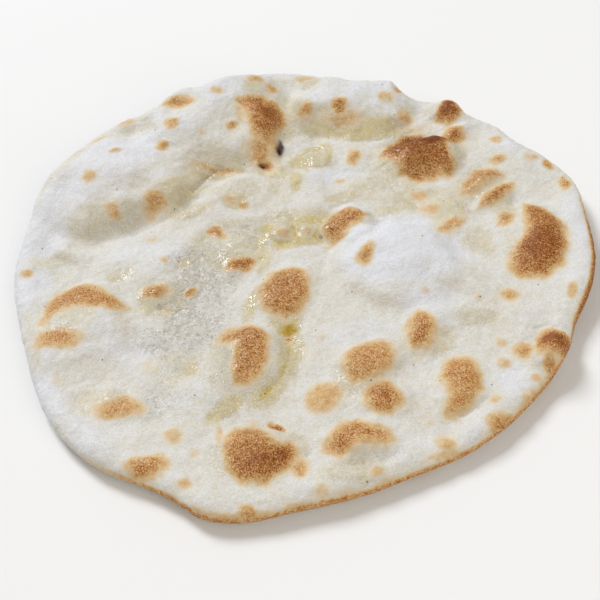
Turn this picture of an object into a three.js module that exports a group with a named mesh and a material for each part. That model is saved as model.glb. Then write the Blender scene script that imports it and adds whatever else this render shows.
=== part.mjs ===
// A round naan: one flat leavened bread, about 274 mm across. A thin sheet of dough runs between its blisters.
// Two long pillows lie along its far left edge. The edge is rounded and lifts a little, and the middle of the
// underside is flat to rest on. Units are millimetres and +Z is up. The origin is on the table under the middle
// of the bread, and +Y is its far side.
import * as THREE from 'three';
import { ImprovedNoise } from 'three/addons/math/ImprovedNoise.js';

// ---- Driving dimensions ----------------------------------------------------------------------------------
const SHEET = 5; // thickness of the dough between blisters
const EDGE_ROUNDING = 0.75; // how far in from the edge the top starts to round over, in thicknesses
const UNDER_ROUNDING = 2.5; // the same on the underside, in millimetres
const EDGE_LEVEL = 0.35; // height of the outermost line, as a share of the thickness behind it
const FLAT_REACH = 0.58; // share of the radius, from the middle, that lies flat on the table
const WAVY_REACH = 0.75; // share of the radius from which the underside has its full waviness
const LIP = { inset: 8, width: 4, rise: 1.2 }; // soft swell that runs round just inside the edge
const PILLOW_SOFTNESS = 1.6; // height over which two pillows flow into each other
const BLISTER_SOFTNESS = 0.5; // the same for two blisters

// The mesh is rings of points. Next to the edge each ring has its own inset from the edge and its own count.
// From `start` inwards, `rings` rings are spread evenly, each with six points fewer than the last.
const EDGE_POINTS = 240; // points on the outermost ring, which the top and the underside share
const TOP = { rounded: [[0.9, 234], [2.4, 228]], start: 4.8, rings: 37 };
const UNDER = { rounded: [[0.8, 160], [2.2, 110]], start: 5, rings: 13 };

// The outline: bearing in degrees, counter-clockwise from +X, and reach from the middle in millimetres.
const OUTLINE = [
  [4, 137.5], [14, 141], [22, 137.5], [30, 132.5], [36, 134], [44, 131.5], [49, 135.5], [53, 130],
  [58, 127.5], [62, 130], [65, 134], [69, 131], [77, 132], [86, 136], [95, 138.5], [104, 136.5],
  [111, 133.5], [116, 138.5], [120, 136], [124, 133.5], [130, 138], [138, 140.5], [146, 142.5], [153, 142.5],
  [161, 139.5], [170, 137.5], [180, 137], [190, 134.5], [200, 134], [210, 137], [220, 140], [231, 140],
  [239, 137.5], [245, 138.5], [251, 142.5], [259, 139.5], [266, 134.5], [276, 131], [287, 128.5],
  [300, 129.5], [315, 129.5], [328, 130.5], [335, 129.5], [343, 133], [351, 136],
];

// How far the edge stands up from the table: bearing and height.
const EDGE_LIFT = [
  [0, 6.5], [25, 6], [60, 4.5], [100, 8], [138, 7.5], [180, 3.5], [225, 2.5], [270, 2], [315, 2.5],
];

// Steam pillows. Each is a dome with its middle at x, y; its half-length along a line turned by `turn` degrees
// from +X, its half-width across that line, and its rise above the sheet. `lean` moves the crest off the
// middle. `steep` shapes the flank: under 1 it meets the sheet in a crease, and from 1.5 on it fades into it.
const PILLOWS = [
  { x: -90, y: 58, along: 48, across: 33, turn: 28, rise: 13, steep: 0.85, lean: [0, 3] },
  { x: -42, y: 96, along: 52, across: 33, turn: 32, rise: 14.5, steep: 0.8, lean: [0, 3] },
  { x: 31, y: 106, along: 41, across: 25, turn: -6, rise: 10, steep: 0.85, lean: [0, 2] },
  { x: 44, y: -12, along: 32, across: 29, turn: -8, rise: 10.5, steep: 0.7, lean: [0, 9] },
  { x: 50, y: -18, along: 50, across: 38, turn: -12, rise: 2.5, steep: 1.3, lean: [0, 6] },
  { x: 65, y: 61, along: 22, across: 16, turn: -5, rise: 10, steep: 0.75, lean: [0, 3] },
  { x: 110, y: -4, along: 27, across: 16, turn: 78, rise: 8, steep: 0.7, lean: [3, 2] },
  { x: -100, y: -47, along: 39, across: 24, turn: 86, rise: 7.5, steep: 0.85, lean: [0, 20] },
  { x: -26, y: -62, along: 18, across: 18, turn: 0, rise: 8.5, steep: 0.7, lean: [1, 4] },
  { x: -26, y: -109, along: 19, across: 14, turn: -5, rise: 7, steep: 0.8, lean: [0, 3] },
  { x: -33, y: 43, along: 29, across: 18, turn: 22, rise: 4.5, steep: 0.9, lean: [0, 4] },
  { x: 8, y: 53, along: 18, across: 12, turn: 10, rise: 3, steep: 1, lean: [0, 2] },
  { x: -47, y: -78, along: 22, across: 15, turn: 12, rise: 4.5, steep: 1, lean: [0, 2] },
  { x: -80, y: 6, along: 44, across: 15, turn: 8, rise: 3, steep: 1.2, lean: [0, 0] },
  { x: 90, y: -42, along: 27, across: 17, turn: -10, rise: 2.5, steep: 1.3, lean: [0, 0] },
  { x: 72, y: 22, along: 32, across: 13, turn: 25, rise: 2.5, steep: 1.2, lean: [0, 0] },
  { x: 112, y: 50, along: 26, across: 14, turn: 125, rise: 3.5, steep: 1.2, lean: [0, 0] },
];

// Blisters that rise from the sheet or from a pillow, in the same terms.
const BLISTERS = [
  { x: -14, y: 88, along: 21, across: 11, turn: 102, rise: 4.5, steep: 1 },
  { x: 23.5, y: 15.5, along: 13, across: 12, turn: 30, rise: 6.5, steep: 0.65 },
  { x: -7.5, y: -23, along: 17, across: 14, turn: 60, rise: 4.5, steep: 0.9 },
  { x: 25.5, y: -67, along: 19, across: 14, turn: 28, rise: 4.5, steep: 0.9 },
  { x: 30, y: -87, along: 12.5, across: 11.5, turn: 0, rise: 4, steep: 0.9 },
  { x: 5.5, y: -83.5, along: 12, across: 9, turn: 40, rise: 2.5, steep: 1 },
  { x: 16, y: -105, along: 19, across: 9.5, turn: 0, rise: 4.5, steep: 0.85 },
  { x: 50, y: -51.5, along: 13.5, across: 9, turn: 80, rise: 4, steep: 0.9 },
  { x: 62, y: -83, along: 18, across: 12, turn: 76, rise: 5, steep: 0.9 },
  { x: 97.5, y: 27, along: 12, across: 6.5, turn: 38, rise: 5, steep: 0.7 },
  { x: 92, y: 40, along: 14, across: 7, turn: 34, rise: 4.5, steep: 0.75 },
  { x: 31.7, y: 64, along: 11, across: 10, turn: 0, rise: 2.5, steep: 1 },
  { x: 84, y: 94, along: 10, across: 9, turn: 45, rise: 6.5, steep: 0.7 },
  { x: 85, y: 77, along: 8, across: 6.5, turn: 30, rise: 3.5, steep: 0.8 },
  { x: 104, y: -69.5, along: 12, across: 8.5, turn: 15, rise: 7.5, steep: 0.7 },
  { x: 100.5, y: -78, along: 6.5, across: 5, turn: 100, rise: 2.2, steep: 0.9 },
  { x: -61, y: 119, along: 15, across: 9, turn: 25, rise: 5, steep: 0.8 },
  { x: 57, y: 116, along: 11, across: 8, turn: 60, rise: 4, steep: 0.85 },
  { x: -69, y: -109, along: 14, across: 10, turn: -20, rise: 1.8, steep: 1.2 },
  { x: -82, y: -80, along: 15, across: 9, turn: 0, rise: 2.5, steep: 1 },
  { x: -7.8, y: 17, along: 8, across: 7, turn: 0, rise: 3.8, steep: 0.75 },
  { x: 4.5, y: 17, along: 7.5, across: 6.5, turn: 0, rise: 3.4, steep: 0.75 },
  { x: 12.5, y: 67, along: 8.5, across: 8, turn: 0, rise: 3, steep: 0.75 },
  { x: -29.6, y: -2.5, along: 10, across: 7, turn: 25, rise: 2.8, steep: 0.9 },
  { x: -68, y: -15, along: 9, across: 6, turn: 0, rise: 2.2, steep: 0.9 },
  { x: -110, y: 14, along: 14, across: 7, turn: -8, rise: 4, steep: 0.9 },
  { x: 73, y: 11, along: 14, across: 7, turn: 35, rise: 2.5, steep: 1 },
  { x: 98, y: 12, along: 10, across: 9, turn: 0, rise: 2.5, steep: 1 },
  { x: 31, y: -4, along: 9, across: 7, turn: 60, rise: 1.8, steep: 1 },
  { x: 9, y: 104, along: 13, across: 9, turn: 95, rise: 3.5, steep: 0.9 },
  { x: -87, y: 103, along: 12, across: 8, turn: 30, rise: 3, steep: 0.9 },
  { x: 52, y: 88, along: 12, across: 7, turn: 30, rise: 2.5, steep: 1 },
];

// Places where the sheet sinks, as domes upside down: a wide thin patch, and small pits in the creases.
const HOLLOWS = [
  { x: -50, y: -24, along: 46, across: 25, turn: 72, rise: 2, steep: 1.3 },
  { x: 21, y: -116, along: 14, across: 4.5, turn: 12, rise: 1.8, steep: 1 },
  { x: 58, y: -101, along: 19, across: 4.5, turn: 42, rise: 1.5, steep: 1 },
  { x: -9, y: -47, along: 6, across: 5, turn: 0, rise: 2.6, steep: 1 },
  { x: -6, y: 73, along: 6, across: 4.5, turn: 60, rise: 3.2, steep: 1 },
  { x: -15, y: 63, along: 5.5, across: 4.5, turn: 0, rise: 3, steep: 1 },
  { x: 14, y: 8, along: 6, across: 5, turn: 0, rise: 1.6, steep: 1 },
];

// Uneven dough. Each kind of unevenness is smooth noise, with lumps of `size` across and about `reach` high or
// wide. The layer keeps the kinds apart.
const SHEET_SWELLS = [
  { size: 27, reach: 2.2, layer: 0.4 },
  { size: 11, reach: 0.9, layer: 1.7 },
];
const UNDER_SWELLS = [{ size: 17, reach: 2.4, layer: 3.3 }];
const WANDER_EAST = [
  { size: 19, reach: 5, layer: 5.2 },
  { size: 8, reach: 1.6, layer: 6.6 },
];
const WANDER_NORTH = [
  { size: 19, reach: 5, layer: 8.3 },
  { size: 8, reach: 1.6, layer: 9.6 },
];

// ---- Small helpers ---------------------------------------------------------------------------------------
const radians = THREE.MathUtils.degToRad;

// A smooth function of bearing (radians) through [degrees, value] pairs that go once round the bread.
function roundTheBread(pairs) {
  const turns = [-360, 0, 360];
  const wrapped = turns.flatMap((turn) => pairs.map(([bearing, value]) => [bearing + turn, value]));
  const bearings = wrapped.map(([bearing]) => radians(bearing));
  const spline = new THREE.CubicInterpolant(bearings, wrapped.map(([, value]) => value), 1);
  return (bearing) => spline.evaluate(bearing)[0];
}

// The sum of a few kinds of noise at a point.
const perlin = new ImprovedNoise();
const uneven = (kinds, x, y) =>
  kinds.reduce((sum, { size, reach, layer }) => sum + reach * perlin.noise(x / size, y / size, layer), 0);

// Height of one dome over its foot at a point, 0 outside it.
function domeHeight(x, y, { x: midX, y: midY, along, across, turn, rise, steep, lean = [0, 0] }) {
  const cos = Math.cos(radians(turn));
  const sin = Math.sin(radians(turn));
  const fall = (dx, dy) => ((dx * cos + dy * sin) / along) ** 2 + ((dy * cos - dx * sin) / across) ** 2;
  const within = 1 - fall(x - midX, y - midY);
  if (within <= 0) return 0;
  const left = 1 - fall(x - midX - lean[0] * within, y - midY - lean[1] * within);
  return rise * Math.max(left, 0) ** steep;
}

// The larger of two heights, with the corner between them rounded off.
function softMax(a, b, softness) {
  const overlap = Math.max(softness - Math.abs(a - b), 0) / softness;
  return Math.max(a, b) + (overlap * overlap * softness) / 4;
}

// A quarter round: 0 at the edge, 1 from `width` inwards.
const quarterRound = (inset, width) => Math.sqrt(1 - (1 - Math.min(inset / width, 1)) ** 2);

// ---- The bread's surfaces --------------------------------------------------------------------------------
const reachAt = roundTheBread(OUTLINE);
const edgeLiftAt = roundTheBread(EDGE_LIFT);

// How far the whole bread, top and underside, stands off the table at a point.
function lift(x, y) {
  const bearing = Math.atan2(y, x);
  const share = Math.hypot(x, y) / reachAt(bearing);
  const outward = Math.max(share - FLAT_REACH, 0) / (1 - FLAT_REACH);
  return edgeLiftAt(bearing) * outward ** 2;
}

// Thickness of the bread at a point, without the rounding at its edge.
function thickness(x, y, inset) {
  const wanderedX = x + uneven(WANDER_EAST, x, y);
  const wanderedY = y + uneven(WANDER_NORTH, x, y);
  const domes = (list, softness) =>
    list.reduce((height, dome) => softMax(height, domeHeight(wanderedX, wanderedY, dome), softness), 0);
  const hollows = HOLLOWS.reduce((depth, hollow) => depth + domeHeight(x, y, hollow), 0);
  const lip = LIP.rise * Math.exp(-(((inset - LIP.inset) / LIP.width) ** 2));
  const raised = domes(PILLOWS, PILLOW_SOFTNESS) + domes(BLISTERS, BLISTER_SOFTNESS);
  return SHEET + uneven(SHEET_SWELLS, x, y) + raised + lip - hollows;
}

// The point of the top surface that lies `inset` in from the edge at a bearing.
function topPoint(bearing, reach) {
  const [x, y] = [reach * Math.cos(bearing), reach * Math.sin(bearing)];
  const inset = reachAt(bearing) - reach;
  const whole = thickness(x, y, inset);
  const rounding = quarterRound(inset, EDGE_ROUNDING * whole);
  return [x, y, lift(x, y) + whole * (EDGE_LEVEL + (1 - EDGE_LEVEL) * rounding)];
}

// The same on the underside, which is flat on the table in the middle and a little wavy outside that.
function underPoint(bearing, reach) {
  const [x, y] = [reach * Math.cos(bearing), reach * Math.sin(bearing)];
  const inset = reachAt(bearing) - reach;
  const share = reach / reachAt(bearing);
  const wavy = THREE.MathUtils.smoothstep(share, FLAT_REACH, WAVY_REACH);
  const waviness = wavy * Math.max(uneven(UNDER_SWELLS, x, y), 0);
  const rounding = 1 - quarterRound(inset, UNDER_ROUNDING);
  return [x, y, lift(x, y) + waviness + EDGE_LEVEL * thickness(x, y, inset) * rounding];
}

// ---- The mesh: rings of points joined by strips of triangles ---------------------------------------------
const positions = [];
const indices = [];

// Adds a ring of points, evenly spaced in bearing, and returns their indices.
function addRing(count, pointAt) {
  return Array.from({ length: count }, (_, step) => {
    positions.push(...pointAt((2 * Math.PI * step) / count));
    return positions.length / 3 - 1;
  });
}

// Joins two rings, whatever their counts, going round both at the same pace. `facingUp` sets the winding.
function joinRings(outer, inner, facingUp) {
  const addTriangle = (a, b, c) => indices.push(...(facingUp ? [a, b, c] : [a, c, b]));
  let [o, i] = [0, 0];
  while (o < outer.length || i < inner.length) {
    const outerNext = (o + 1) / outer.length;
    const innerNext = (i + 1) / inner.length;
    const [here, inward] = [outer[o % outer.length], inner[i % inner.length]];
    if (i >= inner.length || (o < outer.length && outerNext <= innerNext)) {
      addTriangle(here, outer[(o + 1) % outer.length], inward);
      o += 1;
    } else {
      addTriangle(here, inner[(i + 1) % inner.length], inward);
      i += 1;
    }
  }
}

// Fills one face of the bread, from the edge ring inwards to a single point in the middle.
function addFace(edge, { rounded, start, rings: ringCount }, pointAt, facingUp) {
  const rings = [edge];
  for (const [inset, count] of rounded) {
    rings.push(addRing(count, (bearing) => pointAt(bearing, reachAt(bearing) - inset)));
  }
  for (let ring = ringCount; ring >= 1; ring -= 1) {
    const share = ring / ringCount;
    rings.push(addRing(6 * ring, (bearing) => pointAt(bearing, share * (reachAt(bearing) - start))));
  }
  rings.push(addRing(1, () => pointAt(0, 0)));
  rings.slice(1).forEach((inner, index) => joinRings(rings[index], inner, facingUp));
}

function naanGeometry() {
  const edge = addRing(EDGE_POINTS, (bearing) => topPoint(bearing, reachAt(bearing)));
  addFace(edge, TOP, topPoint, true);
  addFace(edge, UNDER, underPoint, false);

  const geometry = new THREE.BufferGeometry();
  geometry.setAttribute('position', new THREE.Float32BufferAttribute(positions, 3));
  geometry.setIndex(indices);
  geometry.computeVertexNormals();
  return geometry;
}

// ---- The part --------------------------------------------------------------------------------------------
const crust = new THREE.MeshStandardMaterial({ color: 0xe6dccb, roughness: 0.75, metalness: 0 });

const naan = new THREE.Mesh(naanGeometry(), crust);
naan.name = 'naan';

const bread = new THREE.Group();
bread.add(naan);

export default bread;
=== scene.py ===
# %% [markdown]
# # A naan straight from the oven
# This lesson finishes one flat round naan. The solid that carries it is already made: a sheet of dough
# with its large pillows and blisters, at its real size. What is left is what makes it look baked: small
# blisters and creases, the grain of the dough, the browned spots, the butter, and the toasted edge.

# %% Load the solid that the bread is built on
import math

import bpy
import numpy as np
from mathutils import Matrix, Vector, noise


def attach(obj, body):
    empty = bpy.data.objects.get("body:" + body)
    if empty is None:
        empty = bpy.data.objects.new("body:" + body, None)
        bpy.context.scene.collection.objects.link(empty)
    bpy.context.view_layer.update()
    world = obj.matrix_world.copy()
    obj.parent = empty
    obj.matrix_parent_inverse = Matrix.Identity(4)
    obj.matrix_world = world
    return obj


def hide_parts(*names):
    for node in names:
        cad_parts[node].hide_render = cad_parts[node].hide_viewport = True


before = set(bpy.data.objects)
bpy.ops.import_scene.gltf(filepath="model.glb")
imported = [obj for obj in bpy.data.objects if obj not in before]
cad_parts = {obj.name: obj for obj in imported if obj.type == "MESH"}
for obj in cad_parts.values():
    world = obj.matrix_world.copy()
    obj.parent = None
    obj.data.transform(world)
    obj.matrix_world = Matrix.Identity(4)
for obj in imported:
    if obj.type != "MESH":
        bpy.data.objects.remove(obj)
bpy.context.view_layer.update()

MM = 0.001
NOISE_SEED = 4  # without one, the random fields below would come out differently on each run
noise.seed_set(NOISE_SEED)

# %% [markdown]
# ## The bread's body
# The skin of real dough is smooth between its grains, while the solid is a few thousand flat triangles.
# One way to get a smooth skin is to model the bread again. Here a copy of the solid is cut finer instead,
# so that every pillow stays where it is. The doubled corners are merged first, because subdividing loose
# triangles tears them.

# %% Copy the solid and cut it finer
bpy.ops.object.select_all(action="DESELECT")
naan = bpy.data.objects.new("naan_bread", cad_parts["naan"].data.copy())
bpy.context.scene.collection.objects.link(naan)
bpy.context.view_layer.objects.active = naan
naan.select_set(True)
naan.data.materials.clear()

bpy.ops.mesh.customdata_custom_splitnormals_clear()
bpy.ops.object.mode_set(mode="EDIT")
bpy.ops.mesh.select_mode(type="VERT")
bpy.ops.mesh.select_all(action="SELECT")
bpy.ops.mesh.remove_doubles(threshold=0.01 * MM)
bpy.ops.mesh.subdivide(number_cuts=3, smoothness=1)
bpy.ops.mesh.vertices_smooth(factor=0.5, repeat=4)
bpy.ops.mesh.faces_shade_smooth()
bpy.ops.object.mode_set(mode="OBJECT")
print("faces:", len(naan.data.polygons))


# %% [markdown]
# ## Reading the mesh
# Spots, creases and butter are all placed by where they are on the bread. So the places of all vertices
# are read once, and again after each step that moves them. The top is told from the underside by which
# way a vertex faces.

# %% Helpers that read the mesh
def rows(elements, value):
    """One value of all vertices or normals, as rows of x, y, z."""
    flat = np.empty(3 * len(elements))
    elements.foreach_get(value, flat)
    return flat.reshape(-1, 3)


def places(piece):
    """Where all vertices of a piece are, in millimetres."""
    return rows(piece.data.vertices, "co") / MM


def facings(piece):
    """The normals of all vertices of a piece."""
    return rows(piece.data.vertex_normals, "vector")


def smooth_step(values, low, high):
    """0 below low, 1 above high, and an S-shaped rise between."""
    share = np.clip((values - low) / (high - low), 0, 1)
    return share * share * (3 - 2 * share)


TOP = facings(naan)[:, 2] > 0
print("vertices on top:", int(TOP.sum()), "of", len(TOP))


# %% [markdown]
# ## A softer top
# In a low light the solid's flat triangles still show as faint facets on the pillows. More rounds of
# smoothing take them away. The rim is left out, because smoothing would pull a thin edge inwards.

# %% Smooth the top once more, away from the rim
def select_only(chosen):
    """Selects the vertices that a mask chooses, and goes into edit mode."""
    bpy.ops.object.mode_set(mode="EDIT")
    bpy.ops.mesh.select_all(action="DESELECT")
    bpy.ops.object.mode_set(mode="OBJECT")
    naan.data.vertices.foreach_set("select", chosen)
    bpy.ops.object.mode_set(mode="EDIT")


FACES_UP = 0.4  # how far up a normal points at least, where the skin isn't part of the rim
select_only(facings(naan)[:, 2] > FACES_UP)
bpy.ops.mesh.vertices_smooth(factor=0.5, repeat=6)
bpy.ops.object.mode_set(mode="OBJECT")
print("smoothed:", int((facings(naan)[:, 2] > FACES_UP).sum()), "vertices")


# %% [markdown]
# ## Small blisters
# Steam lifts the thin skin in many small blisters, and those are what brown first. They could be a
# displacement texture, but then they wouldn't sit under their brown spots. So they are pulled up by hand,
# with proportional editing: the vertex nearest each blister's middle is selected, and the dough around it
# follows.

# %% Move the top by hand
def drag_top(chosen, rise, reach, falloff):
    """Moves the chosen vertices up by rise, and what lies within reach less and less. All in millimetres."""
    select_only(chosen)
    bpy.ops.transform.translate(
        value=(0, 0, rise * MM),
        use_proportional_edit=True,
        proportional_edit_falloff=falloff,
        proportional_size=reach * MM,
    )
    bpy.ops.object.mode_set(mode="OBJECT")


def nearest_on_top(at, points):
    """A mask that holds, for each of the points, the top vertex nearest to it."""
    chosen = np.zeros(len(at), bool)
    for x, y in points:
        distance = np.hypot(at[:, 0] - x, at[:, 1] - y)
        chosen[np.where(TOP, distance, np.inf).argmin()] = True
    return chosen


# %% Pull blisters up
BLISTERS = [  # how high, how far the dough follows, and where
    (0.8, 3.2, [(-61, 91), (-66, 78), (-31, 91), (-91, 74), (-40, 20), (-52, -15), (-30, 43)]),
    (0.9, 3.6, [(27, 101), (10, 99), (61, 91), (103, 53), (-102, 55), (92, -36), (91, -68)]),
    (1.1, 4.6, [(31, 66), (98, 11), (-68, -15), (30, -7), (81, -73), (22, -122), (51, -111)]),
    (0.6, 2.6, [(-26, 39), (-64, 6), (120, 50), (54, -32), (77, -36), (46, -100), (5, -50)]),
    (0.4, 5.5, [(4, 16), (-8, 16)]),
    (1.3, 8.0, [(26, 27)]),
    (1.5, 12.0, [(-88, 36), (-73, 40), (-60, 47)]),
    (1.6, 17, [(70, -22), (60, -38)]),
    (1.4, 14, [(78, -28), (72, -42)]),
    (1.0, 4.0, [(-7, -107)]),
    (0.7, 4.0, [(-130, 1), (-54, -119), (-59, -96), (-1, -127), (-76, -45), (84, -61), (76, -91)]),
]
for rise, reach, points in BLISTERS:
    drag_top(nearest_on_top(places(naan), points), rise, reach, "SMOOTH")
print("blisters:", sum(len(points) for _, _, points in BLISTERS))

# %% [markdown]
# ## Creases
# Where two pillows meet, and round the steepest blisters, the skin folds into short creases. Each one is
# a line on the bread. The vertices along it are pushed down together, with a sharp falloff, so that its
# sides meet in a V. The holes are pushed in the same way: there the skin has burst, and what lay under it
# has burned.


# %% Lines on the bread
def distance_to_stretch(at, start, end):
    """How far each place is from the straight stretch between two points, in millimetres."""
    run, away = np.subtract(end, start), at[:, :2] - start
    share = np.clip(away @ run / (run @ run), 0, 1)
    return np.linalg.norm(away - share[:, None] * run, axis=1)


def along_line(at, corners, width):
    """A mask of the top vertices that lie within width of a line through the corners."""
    chosen = np.zeros(len(at), bool)
    for start, end in zip(corners, corners[1:]):
        chosen |= distance_to_stretch(at, start, end) < width
    return chosen & TOP


def arc(x, y, radius, start, end, steps=12):
    """The corners of an arc round x, y, from one bearing to another, in degrees."""
    bearings = np.radians(np.linspace(start, end, steps))
    return [(x + radius * math.cos(b), y + radius * math.sin(b)) for b in bearings]


# %% Push creases down
CREASES = [  # how deep, how far the dough follows, and the line
    (1.2, 2.4, [(-52, 49), (-46, 59), (-39, 66), (-29, 64), (-21, 61)]),
    (0.7, 2.2, [(32, 79), (40, 78), (47, 78)]),
    (0.9, 7.0, [(-100, 20), (-84, 24), (-70, 29), (-58, 36), (-49, 44)]),
    (0.4, 2.2, [(-12, -41), (-9, -46), (-8, -55), (-10, -66), (-15, -74), (-22, -80)]),
    (0.4, 1.8, arc(-8, 16, 7.2, 0, 360)),
    (0.4, 1.8, arc(4, 16, 6.4, -90, 180)),
    (0.3, 1.8, arc(12.5, 68, 7.5, -40, 250)),
    (0.6, 2.2, arc(25, 22, 11.5, 0, 165)),
    (0.7, 2.2, [(99, -57), (104, -56), (111, -61), (116, -67)]),
    (0.5, 1.6, arc(-7, -107, 5, -60, 90, 7)),
    (0.5, 1.8, [(34, 21), (38, 22), (44, 22)]),
    (0.4, 2.0, [(12, 2), (19, 7), (25, 8)]),
    (0.6, 2.2, [(10, -117), (23, -118), (32, -114)]),
    (0.6, 2.2, [(60, -98), (66, -95), (72, -91)]),
    (0.7, 1.6, [(-18, -94), (-16, -96), (-13, -99)]),
    (1.1, 2.0, [(-68, -24), (-64, -26), (-58, -27)]),
    (0.5, 2.0, [(-46, -33), (-40, -38), (-37, -45)]),
]
HOLES = [
    (2.2, 2.6, [(-7, 76), (-7, 81)]),
    (1.0, 2.2, [(-16, 67), (-14, 67)]),
]
PUSHED_WIDTH = 0.6  # on each side of the line, in millimetres
for depth, reach, corners in CREASES + HOLES:
    drag_top(along_line(places(naan), corners, PUSHED_WIDTH), -depth, reach, "SHARP")
print("creases:", len(CREASES), "holes:", len(HOLES))

# %% [markdown]
# ## The skin's unevenness
# Between its blisters the dough is never flat: it has soft lumps a few millimetres across, and where the
# sheet is thin and sunken it is full of small pits. A Displace modifier moves the skin along its normals
# by a noise texture. A vertex group holds it back where the bread should stay smooth, such as on its flat
# underside.


# %% Fields on the bread
def ellipse_inset(at, spot):
    """How far each place lies inside an ellipse's edge, in millimetres, and below 0 outside it."""
    x, y, along, across, turn = spot
    cos, sin = math.cos(math.radians(turn)), math.sin(math.radians(turn))
    dx, dy = at[:, 0] - x, at[:, 1] - y
    share = np.hypot((dx * cos + dy * sin) / along, (dy * cos - dx * sin) / across)
    return (1 - share) * min(along, across)


def wander(at, size, reach, seed):
    """The places, each moved sideways by a smooth random field with lumps of that size."""
    shift = [noise.noise_vector(Vector((x / size, y / size, seed))) for x, y in at[:, :2]]
    return at + reach * np.array(shift)


def vertex_group(name, weights):
    """Makes a vertex group from one weight for each vertex, in steps of a hundredth."""
    group = naan.vertex_groups.new(name=name)
    steps = np.round(100 * weights).astype(int)
    for step in np.unique(steps[steps > 0]):
        group.add(np.flatnonzero(steps == step).tolist(), step / 100, "REPLACE")


# %% Where the sheet is thin and sunken
at = places(naan)
strayed = wander(at, size=14, reach=6, seed=0.5)
HOLLOW_SPOTS = [  # x, y, half length, half width, turn
    (-50, -25, 38, 20, 72), (-52, 3, 18, 12, 10), (-36, -62, 16, 9, 70), (21, -117, 13, 5, 12),
    (-66, -42, 16, 12, 0), (-66, -78, 16, 9, 20), (-30, 22, 14, 8, 0),
]
HOLLOW_FADE = (-4, 10)  # from this far outside a hollow's edge to this far inside it, in millimetres
deepest = np.max([ellipse_inset(strayed, spot) for spot in HOLLOW_SPOTS], axis=0)
hollow = np.where(TOP, smooth_step(deepest, *HOLLOW_FADE), 0)
vertex_group("top", TOP.astype(float))
vertex_group("hollow", hollow)
print("sunken share of the top:", round(float(hollow[TOP].mean()), 3))


# %% Roughen the skin
def roughen(name, kind, size, strength, group, depth=2):
    """Applies a Displace modifier with a noise texture. Size and strength are in millimetres."""
    texture = bpy.data.textures.new(name, kind)
    texture.noise_scale = size * MM
    if kind == "CLOUDS":
        texture.noise_depth = depth
    modifier = naan.modifiers.new(name, "DISPLACE")
    modifier.texture = texture
    modifier.texture_coords = "LOCAL"
    modifier.strength = strength * MM
    modifier.vertex_group = group
    bpy.ops.object.modifier_apply(modifier=name)


roughen("soft_lumps", "CLOUDS", size=7, strength=1.0, group="top")
roughen("grains", "CLOUDS", size=2.4, strength=0.45, group="top", depth=1)
roughen("pits", "VORONOI", size=3, strength=0.5, group="hollow")
naan.vertex_groups.clear()
at = places(naan)
print("height now:", round(float(at[:, 2].max()), 1), "mm")

# %% [markdown]
# ## What the oven does
# Heat browns whatever stands out. A small spot is an ellipse at its place. A large one has an outline of
# its own, because it stops at the crest of its blister. Each has a tone from 0, raw, to 1, dark brown,
# and where spots overlap, the darker one shows. A tone above 1 keeps the darkest spots dark throughout,
# although the skin's grain makes some places paler.

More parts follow.
